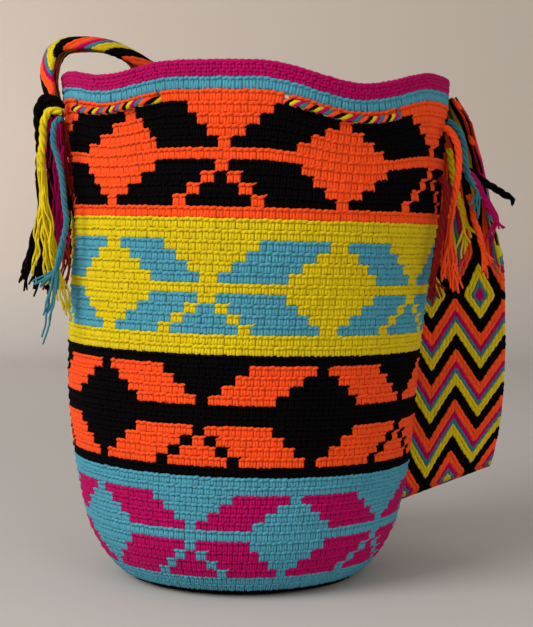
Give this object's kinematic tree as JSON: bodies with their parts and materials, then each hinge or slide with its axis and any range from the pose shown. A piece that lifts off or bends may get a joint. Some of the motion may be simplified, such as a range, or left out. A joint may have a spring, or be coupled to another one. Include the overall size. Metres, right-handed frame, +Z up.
{
  "type": "wayuu mochila bag",
  "caption": "Round crocheted shoulder bag with a gathered drawstring mouth, a flat woven strap sewn to both sides and loose yarn fringe at the strap ends.",
  "frame": {"origin": "middle of the flat base, on the surface the bag stands on", "axes": "+Z up, -Y towards the front seen in the picture, +X to the side the strap hangs down on"},
  "size_m": [0.3014, 0.2444, 0.3412],
  "materials": {
    "crochet": "matte",
    "strap_weave": "matte",
    "drawstring_braid": "matte",
    "yarn_black": "matte",
    "yarn_yellow": "matte",
    "yarn_teal": "matte",
    "yarn_magenta": "matte",
    "yarn_red": "matte",
    "yarn_orange": "matte"
  },
  "bodies": {
    "root": {"bag_body": "crochet", "strap": "strap_weave", "drawstring": "drawstring_braid", "drawstring_knot": "drawstring_braid", "fringe_left_black": "yarn_black", "fringe_left_yellow": "yarn_yellow", "fringe_left_teal": "yarn_teal", "fringe_left_magenta": "yarn_magenta", "fringe_left_red": "yarn_red", "fringe_right_teal": "yarn_teal", "fringe_right_orange": "yarn_orange", "fringe_right_yellow": "yarn_yellow", "fringe_right_magenta": "yarn_magenta", "fringe_right_black": "yarn_black", "fringe_right_amber": "yarn_orange", "fringe_right_red": "yarn_red", "drawstring_tail_short": "drawstring_braid", "drawstring_tail_long": "drawstring_braid"}
  },
  "joints": []
}
